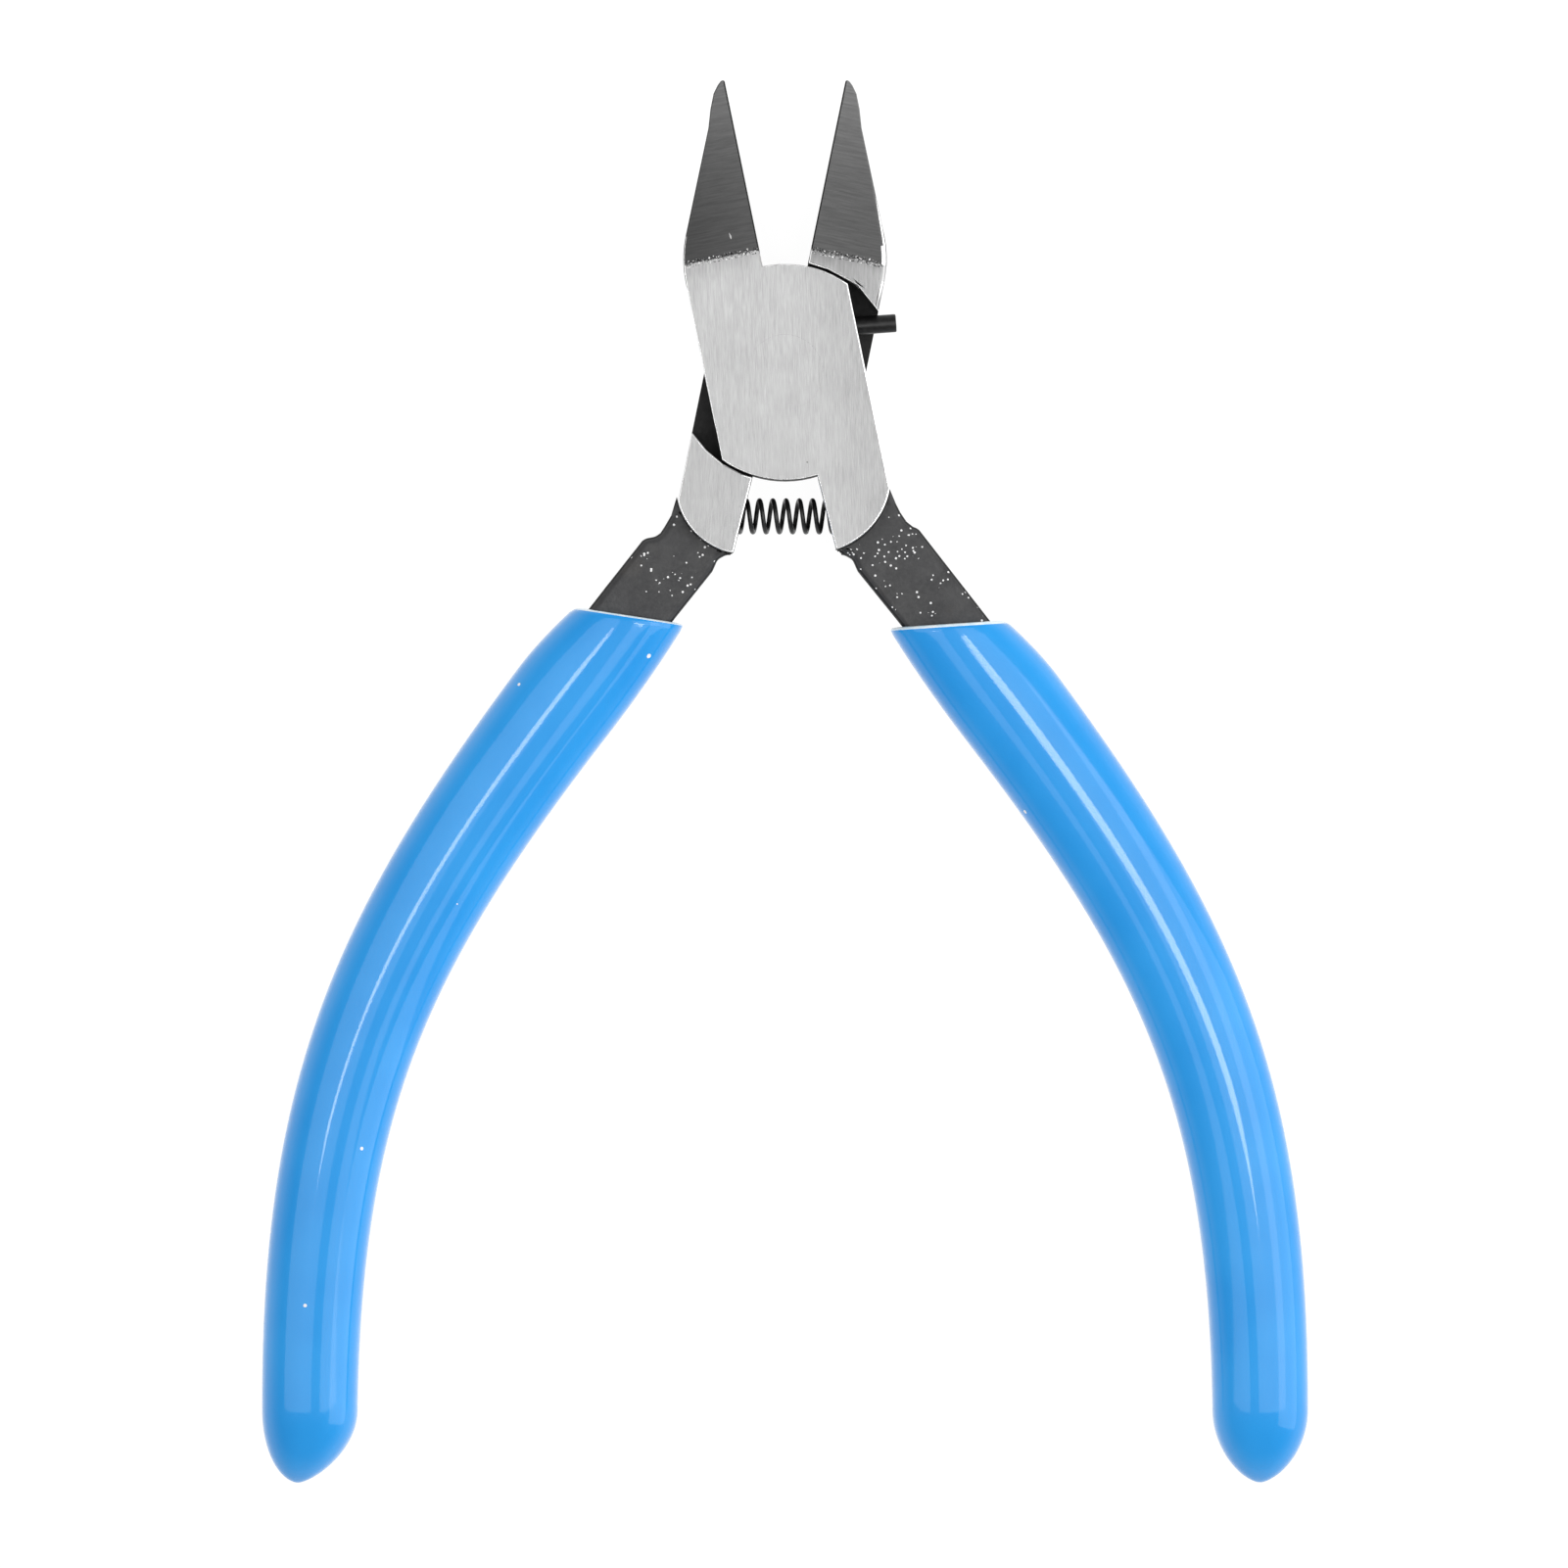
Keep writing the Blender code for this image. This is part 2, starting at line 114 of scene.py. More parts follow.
# The stage, in metres
WORLD_FADE = (0.1, 0.5, 0.85, 0.38)         # strength 0.85 below a direction's Z of 0.1, 0.38 above 0.5
STRIP_PLACE = (0.067, -0.036, 0.355)        # strips light the thin highlights along the sleeves
STRIP_LENGTH, STRIP_RADIANCE, STRIP_TURN = 0.088, 10.0, 50
SOFT_PLACE = (0.175, 0.01, 0.364)           # soft lights make the sleeves' broad bands
SOFT_SIZE = (0.25, 0.32)
CAMERA_PLACE = (-0.00009, -0.0361, MID_Z * MM + 2.0)
CAMERA_LENS, SENSOR_WIDTH = 523.0, 36.0

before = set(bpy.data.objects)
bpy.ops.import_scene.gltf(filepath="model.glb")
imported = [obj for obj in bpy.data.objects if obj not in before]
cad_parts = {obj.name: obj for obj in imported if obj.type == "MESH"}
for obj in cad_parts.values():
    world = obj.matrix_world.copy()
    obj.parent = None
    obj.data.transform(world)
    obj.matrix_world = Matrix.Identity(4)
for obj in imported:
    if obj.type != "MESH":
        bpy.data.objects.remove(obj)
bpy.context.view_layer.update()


# ---------------------------------------------------------------- node helpers

class Shader:
    """A small builder for one node material on a Principled shader."""

    def __init__(self, name, **values):
        self.material = bpy.data.materials.new(name)
        self.material.use_nodes = True
        self.tree = self.material.node_tree
        self.main = self.tree.nodes["Principled BSDF"]
        for socket, value in values.items():
            self.main.inputs[socket.replace("_", " ")].default_value = value

    def node(self, kind, *inputs, **settings):
        made = self.tree.nodes.new("ShaderNode" + kind)
        for key, value in settings.items():
            setattr(made, key, value)
        for index, value in enumerate(inputs):
            self.feed(made.inputs[index], value)
        return made

    def feed(self, socket, value):
        if isinstance(value, bpy.types.NodeSocket):
            self.tree.links.new(value, socket)
        else:
            socket.default_value = value

    def math(self, operation, a, b=0.0, c=0.0):
        made = self.node("Math", operation=operation)
        for socket, value in zip(made.inputs, (a, b, c)):
            self.feed(socket, value)
        return made.outputs[0]

    def place(self, turn=0.0, scale=(1.0, 1.0, 1.0)):
        """Object coordinates in millimetres, turned about the rivet and then scaled."""
        where = self.node("TexCoord").outputs["Object"]
        turned = self.node("VectorRotate", rotation_type="Z_AXIS")
        self.feed(turned.inputs["Vector"], where)
        turned.inputs["Angle"].default_value = radians(turn)
        scaled = self.node("VectorMath", operation="MULTIPLY")
        self.feed(scaled.inputs[0], turned.outputs[0])
        scaled.inputs[1].default_value = [1 / MM * part for part in scale]
        return scaled.outputs[0]

    def noise(self, vector, scale=1.0, detail=2.0, roughness=0.5):
        made = self.node("TexNoise")
        self.feed(made.inputs["Vector"], vector)
        made.inputs["Scale"].default_value = scale
        made.inputs["Detail"].default_value = detail
        made.inputs["Roughness"].default_value = roughness
        return made.outputs["Fac"]

    def spots(self, vector, scale, size):
        """1 inside small spots scattered at random, and 0 elsewhere."""
        cells = self.node("TexVoronoi")
        self.feed(cells.inputs["Vector"], vector)
        cells.inputs["Scale"].default_value = scale
        return self.below(cells.outputs["Distance"], size)

    def above(self, value, limit):
        return self.math("GREATER_THAN", value, limit)

    def below(self, value, limit):
        return self.math("LESS_THAN", value, limit)

    def grey(self, level):
        return self.node("CombineColor", level, level, level).outputs[0]

    def remap(self, value, low, high, to_low=0.0, to_high=1.0):
        made = self.node("MapRange")
        for socket, given in zip(made.inputs, (value, low, high, to_low, to_high)):
            self.feed(socket, given)
        return made.outputs[0]

    def mix(self, share, first, second):
        made = self.node("Mix", data_type="RGBA")
        for name, given in (("Factor_Float", share), ("A_Color", first), ("B_Color", second)):
            socket = next(item for item in made.inputs if item.identifier == name)
            if isinstance(given, tuple):
                given = (*given, 1.0)
            self.feed(socket, given)
        return next(item for item in made.outputs if item.identifier == "Result_Color")

    def bump(self, height, strength, distance):
        made = self.node("Bump")
        made.inputs["Strength"].default_value = strength
        made.inputs["Distance"].default_value = distance * MM
        self.feed(made.inputs["Height"], height)
        self.feed(self.main.inputs["Normal"], made.outputs[0])

    def paint(self, colour, roughness):
        self.feed(self.main.inputs["Base Color"], colour)
        self.feed(self.main.inputs["Roughness"], roughness)


def grey(level, tint=0.0):
    return (level, level, level + tint)


def plate_level(made, jaw_side, plain, x, y, streaks):
    """Reflectance of the joint's faces: streaks along the tool, soft clouds, a few dark pits, and painted
    light and shade.
    """
    clouds = made.noise(made.place(jaw_side * OPEN_HALF_ANGLE, (0.35, 0.25, 1.0)), 1.0, 2.0)
    shade = made.math("MULTIPLY_ADD", clouds, 0.08, -0.04)
    level = made.math("ADD", made.remap(streaks, 0.6, 1.4, *PLATE_LEVELS), shade)
    # painted light: the plates lighter toward +Y
    level = made.math("MULTIPLY", level, made.remap(y, -13.0, 9.0, 0.95, 1.07))
    # painted shade: the rear plate toward its jaw, the front plate toward its +X edge
    if jaw_side == REAR:
        darker = made.remap(y, 3.0, 8.0, 0.95, 0.75)
    else:
        darker = made.remap(x, 2.0, 7.0, 1.0, 0.86)
    level = made.math("MULTIPLY", level, darker)
    pits = made.spots(plain, 0.55, 0.045)
    return made.math("MULTIPLY", level, made.remap(pits, 0.0, 1.0, 1.0, 0.35))


def jaw_level(made, jaw_side, plain, y, lines):
    """Reflectance of the jaw's face: brighter toward the tip as painted light, with lines and bright dashes
    across it.
    """
    toward_tip = made.remap(y, JAW_FRONT_Y, JAW_TIP_Y)
    heel, rise = JAW_LEVELS[jaw_side]
    level = made.math("MULTIPLY_ADD", made.math("MULTIPLY", toward_tip, toward_tip), rise, heel)
    level = made.math("MULTIPLY", level, made.remap(lines, 0.25, 0.75, 0.78, 1.22))
    dashes = made.spots(made.place(jaw_side * OPEN_HALF_ANGLE, (1.1, 0.17, 1.0)), 1.0, 0.09)
    dashes = made.math("MULTIPLY", dashes, made.above(made.noise(plain, 0.3, 1.0), 0.45))
    return made.math("ADD", level, made.math("MULTIPLY", dashes, 0.4))


def head_steel(name, jaw_side):
    """Joint faces ground bright along the tool, jaw faces ground darker across it, a ragged line between,
    with painted light and shade on both.
    """
    made = Shader(name, Metallic=1.0)
    turn = jaw_side * OPEN_HALF_ANGLE
    along = made.place(jaw_side * GRAIN_TURN, (4.5, 0.24, 1.0))
    fine_along = made.place(jaw_side * GRAIN_TURN, (13.0, 0.8, 1.0))
    plain = made.place(turn)
    split = made.node("SeparateXYZ", plain)
    x, y = split.outputs["X"], split.outputs["Y"]
    streaks = made.math("ADD", made.noise(along, 1.0, 3.0, 0.65), made.noise(fine_along, 1.0, 2.0))
    lines = made.noise(made.place(turn, (0.35, 5.5, 1.0)), 1.0, 4.0, 0.7)
    plate = plate_level(made, jaw_side, plain, x, y, streaks)
    jaw = jaw_level(made, jaw_side, plain, y, lines)

    ragged = made.math("MULTIPLY_ADD", made.noise(plain, 3.0, 3.0, 0.7), 0.5, -0.25)
    is_jaw = made.remap(made.math("ADD", y, ragged), JAW_FRONT_Y - 0.04, JAW_FRONT_Y + 0.04)
    both = made.mix(is_jaw, made.grey(plate), made.grey(jaw))
    near_line = made.below(made.math("ABSOLUTE", made.math("SUBTRACT", y, JAW_FRONT_Y)), 0.3)
    chips = made.noise(plain, 5.0, 2.0, 0.8)
    both = made.mix(made.math("MULTIPLY", made.above(chips, 0.63), near_line), both, grey(0.95))
    both = made.mix(made.math("MULTIPLY", made.below(chips, 0.42), near_line), both, grey(0.012))
    made.paint(both, made.remap(streaks, 0.5, 1.5, 0.3, 0.42))
    made.bump(made.math("MULTIPLY_ADD", is_jaw, made.math("SUBTRACT", lines, streaks), streaks), 0.35, 0.02)
    return made.material


def worn_edge_highlight():
    """The narrow lands round the ground faces, worn bright, and raised in reflectance as a painted highlight.
    """
    made = Shader("worn_edge_painted_highlight", Metallic=1.0)
    wear = made.noise(made.place(), 1.3, 3.0, 0.6)
    made.paint(made.grey(made.remap(wear, 0.3, 0.7, 0.8, 0.98)), made.remap(wear, 0.3, 0.7, 0.2, 0.32))
    made.bump(wear, 0.15, 0.02)
    return made.material


def side_steel():
    """The head's edges, ground fine and left bright."""
    made = Shader("edge_ground_steel", Metallic=1.0)
    lines = made.noise(made.place(0.0, (0.3, 0.3, 5.0)), 1.0, 3.0, 0.6)
    level = made.remap(lines, 0.3, 0.7, 0.34, 0.56)
    made.paint(made.grey(level), made.remap(lines, 0.2, 0.8, 0.28, 0.38))
    made.bump(lines, 0.2, 0.02)
    return made.material


def forging_scale(name, jaw_side):
    """Black scale on the neck and tang, with clusters of bare flecks, rusty patches and a painted shadow at
    the foot of the step.
    """
    made = Shader(name, Specular_IOR_Level=0.5)
    plain = made.place()
    mottle = made.noise(plain, 0.55, 4.0, 0.65)
    grain = made.noise(plain, 3.2, 3.0, 0.7)
    base = made.mix(made.remap(mottle, 0.3, 0.7), grey(0.021, 0.002), grey(0.045, 0.001))
    rust = made.remap(made.noise(plain, 0.2, 2.0), 0.6, 0.8, 0.0, 0.35)
    base = made.mix(rust, base, (0.07, 0.055, 0.04))
    patches = made.noise(plain, 0.3, 1.0)
    sparse = made.math("MULTIPLY", made.spots(plain, 1.5, 0.15), made.above(patches, 0.44))
    dense = made.math("MULTIPLY", made.spots(plain, 2.3, 0.19), made.above(patches, FLECK_LIMIT[jaw_side]))
    base = made.mix(made.math("MAXIMUM", sparse, dense), base, grey(0.85))

    # painted shadow: a near-black line just outside the ground face's lower edge, at the foot of its step
    (x, y), radius = GROUND_ARC[jaw_side]
    centre = Matrix.Rotation(-jaw_side * radians(OPEN_HALF_ANGLE), 4, "Z") @ Vector((-jaw_side * x, y, 0.0))
    flat = made.place(0.0, (1.0, 1.0, 0.0))
    away = made.node("VectorMath", flat, tuple(centre), operation="DISTANCE").outputs["Value"]
    base = made.mix(made.remap(away, radius + 0.1, radius + 0.2, 0.85, 0.0), base, grey(0.004))
    made.paint(base, made.remap(grain, 0.3, 0.7, 0.42, 0.6))
    made.bump(made.math("ADD", grain, made.math("MULTIPLY", mottle, 2.0)), 0.35, 0.06)
    return made.material


def recess_black_and_shade():
    """The unground faces inside the lap joint and the spring's sockets, painted several times darker than the
    black scale as shade; also the painted shade outlines along steep edges.
    """
    made = Shader("black_lap_recess_painted_shade", Specular_IOR_Level=0.3)
    grain = made.noise(made.place(), 2.0, 4.0, 0.7)
    level = made.remap(grain, 0.25, 0.75, 0.003, 0.012)
    made.paint(made.grey(level), made.remap(grain, 0.3, 0.7, 0.5, 0.7))
    made.bump(grain, 0.3, 0.05)
    return made.material


def black_oxide(name, level, roughness):
    """Blackened wire or pin steel."""
    made = Shader(name, Metallic=0.7)
    grain = made.noise(made.place(), 2.4, 3.0, 0.6)
    shade = made.remap(grain, 0.25, 0.75, level * 0.7, level * 1.4)
    made.paint(made.grey(shade), made.remap(grain, 0.3, 0.7, roughness, roughness + 0.12))
    made.bump(grain, 0.15, 0.03)
    return made.material


def blue_vinyl():
    """Glossy dipped vinyl, with soft clouds and ripples and a few dust specks."""
    made = Shader("glossy_blue_vinyl", Coat_Weight=0.7, Coat_Roughness=0.05, Specular_IOR_Level=0.2)
    plain = made.place()
    cloud = made.noise(plain, 0.12, 2.0)
    colour = made.mix(made.remap(cloud, 0.35, 0.65), (0.009, 0.295, 0.76), (0.016, 0.325, 0.80))
    dust = made.spots(plain, 0.17, 0.035)
    gloss = made.remap(made.noise(plain, 1.2, 2.0), 0.3, 0.7, 0.28, 0.36)
    made.paint(made.mix(dust, colour, grey(0.85)), gloss)
    made.bump(made.math("ADD", made.noise(plain, 0.5, 2.0), made.math("MULTIPLY", dust, 0.8)), 0.05, 0.1)
    return made.material


def vinyl_rim_highlight():
    """The sleeve's thin rim, painted pale as the highlight where it catches the light."""
    made = Shader("vinyl_rim_painted_highlight", Coat_Weight=0.5, Coat_Roughness=0.1)
    cloud = made.noise(made.place(), 0.9, 2.0)
    made.paint(made.mix(made.remap(cloud, 0.35, 0.65), (0.66, 0.85, 0.98), (0.92, 0.97, 1.0)), 0.3)
    return made.material


# ---------------------------------------------------------------- mesh helpers

def add_piece(name, mesh, body, slot, *replaced):
    """Show the mesh in place of CAD nodes, riding on a body unless it is None."""
    made = bpy.data.objects.new(name, mesh)
    bpy.context.scene.collection.objects.link(made)
    if body is not None:
        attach(made, body)
    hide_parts(*replaced)
    return made


def loft(name, rings):
    """A smooth closed mesh through rings of points in millimetres."""
    mesh = bpy.data.meshes.new(name)
    work = bmesh.new()
    loops = [[work.verts.new(Vector(point) * MM) for point in ring] for ring in rings]
    count = len(loops[0])
    for low, high in zip(loops, loops[1:]):
        for side in range(count):
            after = (side + 1) % count
            work.faces.new((low[side], low[after], high[after], high[side]))
    work.faces.new(loops[0])
    work.faces.new(loops[-1])
    bmesh.ops.recalc_face_normals(work, faces=work.faces)
    work.to_mesh(mesh)
    work.free()
    mesh.shade_smooth()
    return mesh


def turned_rings(profile, sides):
    """Rings about the X axis, from a profile of (distance along it, radius)."""
    angles = [2 * pi * side / sides for side in range(sides)]
    return [[(x, radius * cos(a), radius * sin(a)) for a in angles] for x, radius in profile]


# ---------------------------------------------------------------- levers

def closed_frame(jaw_side):
    """From the row frame, in metres, to one lever's closed frame, in millimetres with its jaw on the left."""
    mirror = Matrix.Diagonal((-jaw_side, 1, 1, 1))
    return mirror @ Matrix.Scale(1 / MM, 4) @ Matrix.Rotation(jaw_side * radians(OPEN_HALF_ANGLE), 4, "Z")


def from_rivet(spot):
    return Vector((spot.x, spot.y)).length


def on_head_face(spot):
    return spot.z > HEAD_THICKNESS - NEAR_FACE or spot.z < NEAR_FACE


def face_finish(centre, normal, jaw_side):
    """Which finish a face of a lever has, from where it is and which way it faces in the closed frame."""
    reach, upright = from_rivet(centre), abs(normal.z)
    outside = centre.z > HEAD_THICKNESS - 0.1 or centre.z < 0.1
    on_jaw = centre.y > JAW_FRONT_Y
    within_plates = not outside and abs(centre.x) < INNER_HALF_WIDTH
    if upright > FLAT and (outside or on_jaw):
        return GROUND
    # the lap faces: unground black, darkened further as painted shade
    if reach < SHOULDER_RADIUS - 0.3 and (within_plates or upright > 0.9 and not outside):
        return RECESS_AND_SHADE
    if upright > WALL and on_jaw and centre.z > MID_Z and centre.x > -0.2:
        return RECESS_AND_SHADE           # the cutting edge's thin dark outline, painted shade
    if upright > WALL and centre.y > HEAD_END_Y and (outside or on_jaw):
        plate_end = outside and centre.y < -5 and abs(reach - PLATE_RADIUS + 0.05) < 0.1
        cheek = 7.5 < centre.y <= CHEEK_END_Y and centre.x < -5
        if upright < STEEP and (plate_end or cheek or on_jaw and jaw_side == FRONT):
            return RECESS_AND_SHADE       # thin dark outlines of the plates' ends, the cheeks and the front lever's jaw, painted shade
        # the other bevel steps get the worn edge with its painted highlight
        return GROUND if centre.y > CHEEK_END_Y else BRIGHT
    # the shoulder's wall round the other plate: painted shade
    if reach < SHOULDER_RADIUS + 0.1 and within_plates:
        return RECESS_AND_SHADE
    if centre.y > FLANK_END_Y:
        return SIDE
    # inside the spring's socket: painted shade
    in_socket = max(abs(centre.z - MID_Z), abs(centre.y - SOCKET_Y)) < SOCKET_REACH and centre.x < 6.6
    if in_socket and abs(normal.x) < 0.9:
        return RECESS_AND_SHADE
    # the tang's sloping edge steps: painted shade outlines
    return RECESS_AND_SHADE if WALL < upright < 0.65 else SCALE


def edge_share(edge, to_closed, jaw_side):
    """How much of the bevel an edge gets."""
    if len(edge.link_faces) != 2 or edge.calc_face_angle() < radians(SHARP_TURN):
        return 0.0
    ends = [to_closed @ vert.co for vert in edge.verts]
    middle = (ends[0] + ends[1]) / 2
    on_faces = all(on_head_face(end) for end in ends)
    if on_faces and from_rivet(middle) < 5:
        return 0.0
    if jaw_side == REAR and 8.0 < middle.y < 15.0 and middle.x < -4.5 and middle.z > MID_Z:
        return CHEEK_EDGE
    if middle.y > JAW_FRONT_Y and middle.x > -0.1 and middle.z > MID_Z:
        return CUTTING_EDGE
    if on_faces or middle.y > JAW_FRONT_Y:
        return FINE_EDGE
    return TANG_EDGE if middle.y < -13 else 0.0


def round_hole(work, to_closed):
    """Give the rivet's hole three times as many sides where it meets the two faces."""
    def on_rim(vert):
        spot = to_closed @ vert.co
        return from_rivet(spot) < HOLE_RADIUS + 0.05 and on_head_face(spot)

    rim = [edge for edge in work.edges if all(on_rim(vert) for vert in edge.verts)]
    bmesh.ops.subdivide_edges(work, edges=rim, cuts=2)
    for vert in work.verts:
        if on_rim(vert):
            scale = HOLE_RADIUS * MM / Vector((vert.co.x, vert.co.y)).length
            vert.co.x, vert.co.y = vert.co.x * scale, vert.co.y * scale


def mark_edges(mesh, to_closed, jaw_side):
    """Merge the frame's triangles into whole faces, and mark each edge with its share of the bevel."""
    work = bmesh.new()
    work.from_mesh(mesh)
    bmesh.ops.remove_doubles(work, verts=work.verts, dist=2e-6)
    bmesh.ops.dissolve_limit(work, angle_limit=radians(1.0), verts=work.verts, edges=work.edges)
    round_hole(work, to_closed)
    weights = work.edges.layers.float.new("bevel_weight_edge")
    for edge in work.edges:
        edge[weights] = edge_share(edge, to_closed, jaw_side)
        edge.smooth = edge[weights] > 0 or edge.calc_face_angle(0) < radians(SHARP_TURN)
    for face in work.faces:
        face.smooth = True
    work.to_mesh(mesh)
    work.free()


def bevelled(name, plain):
    """A copy of the mesh with its marked edges bevelled, and the bevels' coinciding points merged."""
    draft = bpy.data.objects.new(name + "_draft", plain)
    bpy.context.scene.collection.objects.link(draft)
    bevel = draft.modifiers.new("edges", "BEVEL")
    bevel.limit_method = "WEIGHT"
    bevel.width = BEVEL * MM
    bevel.segments = 3
    bevel.use_clamp_overlap = False
    bevel.miter_outer = "MITER_ARC"
    mesh = bpy.data.meshes.new_from_object(draft.evaluated_get(bpy.context.evaluated_depsgraph_get()))
    bpy.data.objects.remove(draft)
    work = bmesh.new()
    work.from_mesh(mesh)
    bmesh.ops.remove_doubles(work, verts=work.verts, dist=2e-7)
    work.to_mesh(mesh)
    work.free()
    mesh.name = name
    return mesh


def make_lever(node, jaw_side, finishes):
    """The CAD lever with worn edges, and a finish for each face."""
    name = node + "_forging"
    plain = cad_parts[node].data.copy()
    to_closed = closed_frame(jaw_side)
    mark_edges(plain, to_closed, jaw_side)
    mesh = bevelled(name, plain)
    mesh.materials.clear()
    for finish in finishes:
        mesh.materials.append(finish)
    turn = to_closed.to_3x3()
    for face in mesh.polygons:
        normal = (turn @ face.normal).normalized()
        face.material_index = face_finish(to_closed @ face.center, normal, jaw_side)
    lever = add_piece(name, mesh, BODY_NAME[jaw_side], "ground_steel", node)
    normals = lever.modifiers.new("normals", "WEIGHTED_NORMAL")
    normals.keep_sharp = True


# ---------------------------------------------------------------- grips

def handle_point(place):
    """A point on the handle's centre line and the unit direction there, on the front lever's side."""
    start, lead, trail, end = [Vector(point) for point in HANDLE_CURVE]
    rest = 1 - place
    point = start * rest**3 + lead * 3 * rest**2 * place + trail * 3 * rest * place**2 + end * place**3
    along = (lead - start) * rest**2 + (trail - lead) * 2 * rest * place + (end - trail) * place**2
    return point, along.normalized()


def half_width_between(top, bottom, place, start):
    return top + (bottom - top) * (place - start) / (GRIP_END - start)


def grip_half_width(place, start):
    near_rim = max(0.0, 1 - (place - start) / RIM_TAPER_LENGTH)
    plain = half_width_between(GRIP_HALF_WIDTH_TOP, GRIP_HALF_WIDTH_BOTTOM, place, start)
    return plain - RIM_TAPER * near_rim**2


def grip_ring(place, half_width, half_thickness, squareness, jaw_side, forward=0.0, shift=0.0):
    """One ring of a sleeve in the closed frame. Near the rim the rings lean, to run across the handle."""
    lean = RIM_SLANT[jaw_side] * max(0.0, 1 - (place - GRIP_START[jaw_side]) / RIM_SLANT_LENGTH)
    point, along = handle_point(place)
    outward = Vector((-along.y, along.x))
    ring = []
    for side in range(GRIP_SIDES):
        angle = 2 * pi * side / GRIP_SIDES
        across, up = [copysign(abs(part) ** (2 / squareness), part) for part in (cos(angle), sin(angle))]
        sideways = half_width * across
        spot = point + outward * (sideways + shift) + along * (lean * sideways + forward)
        ring.append((spot.x, spot.y, MID_Z + half_thickness * up))
    return ring


def socket_rings(jaw_side):
    """The inside, from the closed end of the tang's socket up to the rim."""
    start = GRIP_START[jaw_side]
    count = GRIP_RINGS // 2
    rings = []
    for step in range(count, -1, -1):
        place = start + (SOCKET_END - start) * step / count
        half_width = half_width_between(SOCKET_HALF_WIDTH_TOP, SOCKET_HALF_WIDTH_BOTTOM, place, start)
        rings.append(grip_ring(place, half_width, SOCKET_HALF_THICKNESS, SOCKET_SQUARENESS, jaw_side))
    return rings


def lip_rings(jaw_side):
    """The rounded lip at the rim."""
    start = GRIP_START[jaw_side]
    rings = []
    for step in range(LIP_RINGS):
        turn = pi / 2 * step / LIP_RINGS
        inset, forward = LIP_RADIUS * (1 - sin(turn)), LIP_RADIUS * (1 - cos(turn))
        half_width = grip_half_width(start, start) - inset
        half_thickness = GRIP_HALF_THICKNESS - inset
        rings.append(grip_ring(start, half_width, half_thickness, GRIP_SQUARENESS, jaw_side, forward))
    return rings


def outer_rings(jaw_side, end_shift):
    """The outside, from the lip down to the rounded end."""
    start = GRIP_START[jaw_side]
    first = start + FIRST_BODY_RING
    rings = []
    for step in range(GRIP_RINGS + 1):
        place = first + (GRIP_BODY_END - first) * step / GRIP_RINGS
        half_width = grip_half_width(place, start)
        rings.append(grip_ring(place, half_width, GRIP_HALF_THICKNESS, GRIP_SQUARENESS, jaw_side))
    for step in range(1, GRIP_END_RINGS + 1):
        share = GRIP_TIP_SHARE * sin(pi / 2 * step / GRIP_END_RINGS)
        shrink = (1 - share**2) ** GRIP_END_FULLNESS
        place = GRIP_BODY_END + (GRIP_END - GRIP_BODY_END) * share
        rings.append(grip_ring(place, grip_half_width(place, start) * shrink, GRIP_HALF_THICKNESS * shrink,
                               GRIP_SQUARENESS, jaw_side, shift=end_shift * share**2))
    return rings


def make_grip(node, jaw_side, end_shift, finishes):
    """A sleeve over the tang: up its socket, over the lip, and down the outside to its end."""
    name = node + "_sleeve"
    inside = socket_rings(jaw_side)
    mesh = loft(name, inside + lip_rings(jaw_side) + outer_rings(jaw_side, end_shift))
    mesh.transform(Matrix.Scale(1 / MM, 4))
    mesh.transform(closed_frame(jaw_side).inverted())
    if jaw_side == REAR:
        mesh.flip_normals()
    for finish in finishes:
        mesh.materials.append(finish)
    first_highlight = len(inside) * GRIP_SIDES
    for face in list(mesh.polygons)[first_highlight:first_highlight + HIGHLIGHT_RINGS[jaw_side] * GRIP_SIDES]:
        face.material_index = 1
    add_piece(name, mesh, BODY_NAME[jaw_side], "blue_vinyl", node)


# ---------------------------------------------------------------- rivet, spring and pin

def make_rivet(finish):
    """Fills its countersunk hole so closely that the joint doesn't show, and is ground flush with it."""
    wide = HOLE_RADIUS - RIVET_FIT
    narrow = wide - RIVET_HEAD
    back_head = [(0.0, wide), (RIVET_HEAD, narrow)]
    front_head = [(HEAD_THICKNESS - depth, radius) for depth, radius in reversed(back_head)]
    mesh = loft("pivot_rivet_ground", turned_rings(back_head + front_head, 96))
    mesh.transform(Matrix.Rotation(-pi / 2, 4, "Y"))
    mesh.set_sharp_from_angle(angle=radians(30))
    mesh.materials.append(finish)
    add_piece("pivot_rivet_ground", mesh, "rear_lever_body", "rivet_steel", "pivot_rivet")


def coil_mesh(name, centre, half_length):
    """A round wire wound about the line along X through the centre."""
    line = bpy.data.curves.new(name, "CURVE")
    line.dimensions = "3D"
    line.bevel_depth = SPRING_WIRE_RADIUS * MM
    line.bevel_resolution = 3
    line.use_fill_caps = True
    count = int(SPRING_TURNS * SPRING_STEPS_PER_TURN)
    path = line.splines.new("POLY")
    path.points.add(count)
    coil = SPRING_COIL_RADIUS * MM
    for step in range(count + 1):
        share = step / count
        angle = 2 * pi * SPRING_TURNS * (share - 0.5) - SPRING_PHASE
        offset = Vector(((2 * share - 1) * half_length, coil * cos(angle), coil * sin(angle)))
        path.points[step].co = (*(centre + offset), 1.0)
    curve = bpy.data.objects.new(name + "_line", line)
    mesh = bpy.data.meshes.new_from_object(curve)
    bpy.data.objects.remove(curve)
    mesh.name = name
    return mesh


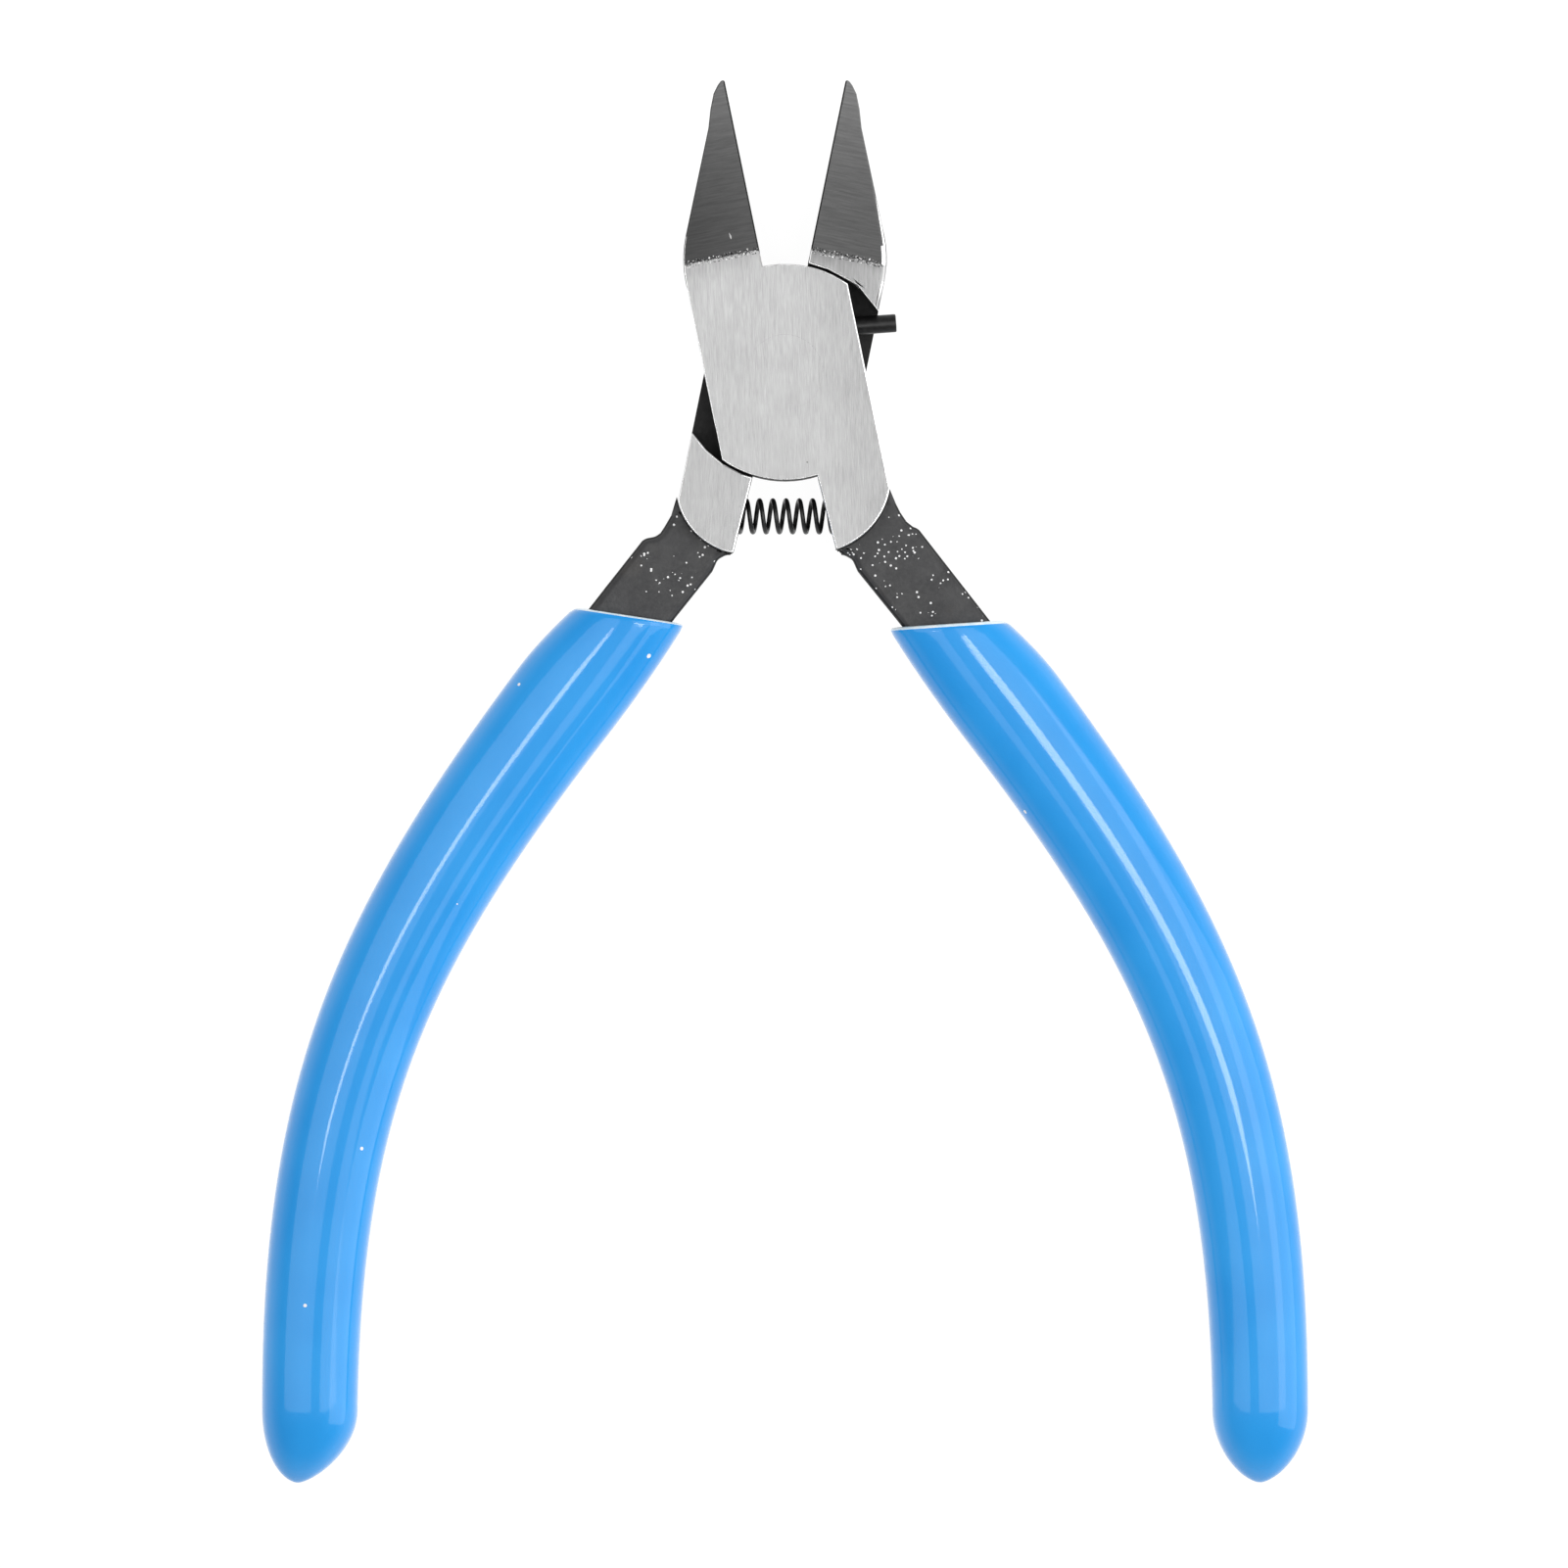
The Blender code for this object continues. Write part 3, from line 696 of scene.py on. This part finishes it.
def make_spring(finish):
    """A coil of round wire through the CAD spring's box, riding on no body."""
    low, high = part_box("return_spring")
    centre = (low + high) / 2
    mesh = coil_mesh("return_spring_wire", centre, (high.x - low.x) / 2 - SPRING_END_GAP * MM)
    mesh.shade_smooth()
    mesh.materials.clear()
    mesh.materials.append(finish)
    spring = add_piece("return_spring_wire", mesh, None, "spring_wire", "return_spring")
    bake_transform(spring)


def make_pin(finish):
    """A turned pin with a double chamfer on its free end."""
    low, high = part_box("stop_pin")
    half, radius, chamfer = PIN_HALF_LENGTH, PIN_RADIUS, PIN_CHAMFER
    profile = [(-half, radius - chamfer), (-half + chamfer, radius), (half - chamfer, radius),
               (half - chamfer * 0.3, radius - chamfer * 0.35), (half, radius - chamfer * 1.4)]
    mesh = loft("stop_pin_turned", turned_rings(profile, 64))
    mesh.set_sharp_from_angle(angle=radians(35))
    mesh.transform(Matrix.Rotation(radians(OPEN_HALF_ANGLE + PIN_LEAN), 4, "Z"))
    mesh.transform(Matrix.Translation((low + high) / 2))
    mesh.materials.append(finish)
    add_piece("stop_pin_turned", mesh, "front_lever_body", "pin_steel", "stop_pin")


# ---------------------------------------------------------------- stage

def aim(item, target):
    item.rotation_euler = (Vector(target) - item.location).to_track_quat("-Z", "Y").to_euler()


def area_light(name, location, target, size, radiance, turn=0.0):
    data = bpy.data.lights.new(name, "AREA")
    data.shape = "RECTANGLE"
    data.size, data.size_y = size
    data.energy = radiance * pi * size[0] * size[1]
    lamp = bpy.data.objects.new(name, data)
    bpy.context.scene.collection.objects.link(lamp)
    lamp.location = location
    aim(lamp, target)
    lamp.rotation_euler.rotate_axis("Z", radians(turn))
    lamp.visible_camera = False


def make_world(scene):
    """A white world that is brighter near the horizon than overhead."""
    world = bpy.data.worlds.new("studio")
    scene.world = world
    world.use_nodes = True
    tree = world.node_tree
    background = tree.nodes["Background"]
    coordinates = tree.nodes.new("ShaderNodeTexCoord")
    split = tree.nodes.new("ShaderNodeSeparateXYZ")
    tree.links.new(coordinates.outputs["Generated"], split.inputs[0])
    fade = tree.nodes.new("ShaderNodeMapRange")
    tree.links.new(split.outputs["Z"], fade.inputs[0])
    for index, value in enumerate(WORLD_FADE, 1):
        fade.inputs[index].default_value = value
    tree.links.new(fade.outputs[0], background.inputs["Strength"])
    background.inputs["Color"].default_value = (1.0, 1.0, 1.0, 1.0)


def make_floor(scene):
    """A self-lit white sweep just under the tool."""
    mesh = bpy.data.meshes.new("floor")
    half = 3.0
    corners = [(-half, -half, 0), (half, -half, 0), (half, half, 0), (-half, half, 0)]
    mesh.from_pydata(corners, [], [(0, 1, 2, 3)])
    floor = bpy.data.objects.new("floor", mesh)
    scene.collection.objects.link(floor)
    floor.location.z = -0.0002
    paper = Shader("white_sweep", Roughness=0.9, Base_Color=(0.12, 0.12, 0.12, 1.0))
    paper.main.inputs["Emission Color"].default_value = (1.0, 1.0, 1.0, 1.0)
    paper.main.inputs["Emission Strength"].default_value = 0.95
    mesh.materials.append(paper.material)


def make_lights():
    x, y, z = STRIP_PLACE
    for name, side, width in (("strip_left", -1, 0.016), ("strip_right", 1, 0.034)):
        size = (width, STRIP_LENGTH)
        area_light(name, (side * x, y, z), (side * x, y, 0.0), size, STRIP_RADIANCE, turn=side * STRIP_TURN)
    x, y, z = SOFT_PLACE
    for name, side, radiance in (("soft_left", -1, 1.3), ("soft_right", 1, 1.5)):
        area_light(name, (side * x, y, z), (0.0, 0.0, 0.0), SOFT_SIZE, radiance)
    area_light("window", (0.85, -0.05, 0.55), (0.0, -0.04, 0.0), (0.9, 1.1), 1.6)


def make_camera(scene):
    """Looks straight down from far away, as in the photograph."""
    camera = bpy.data.objects.new("camera", bpy.data.cameras.new("camera"))
    scene.collection.objects.link(camera)
    camera.data.lens = CAMERA_LENS
    camera.data.sensor_width = SENSOR_WIDTH
    camera.location = CAMERA_PLACE
    camera.rotation_euler = (0.0, 0.0, 0.0)
    camera.data.clip_start = 0.01
    scene.camera = camera


def make_stage():
    scene = bpy.context.scene
    scene.view_settings.view_transform = "Standard"
    make_world(scene)
    make_floor(scene)
    make_lights()
    make_camera(scene)


def main():
    side, recess, bright = side_steel(), recess_black_and_shade(), worn_edge_highlight()
    ground = {FRONT: head_steel("ground_steel_front", FRONT), REAR: head_steel("ground_steel_rear", REAR)}
    for node, jaw_side in (("front_lever", FRONT), ("rear_lever", REAR)):
        scale = forging_scale("black_scale_" + node, jaw_side)
        make_lever(node, jaw_side, (ground[jaw_side], side, scale, recess, bright))
    vinyl = (blue_vinyl(), vinyl_rim_highlight())
    make_grip("left_grip", REAR, LEFT_GRIP_END_SHIFT, vinyl)
    make_grip("right_grip", FRONT, 0.0, vinyl)
    make_rivet(ground[FRONT])
    make_spring(black_oxide("blackened_spring_wire", 0.03, 0.3))
    make_pin(black_oxide("blackened_pin", 0.02, 0.3))
    make_stage()


main()
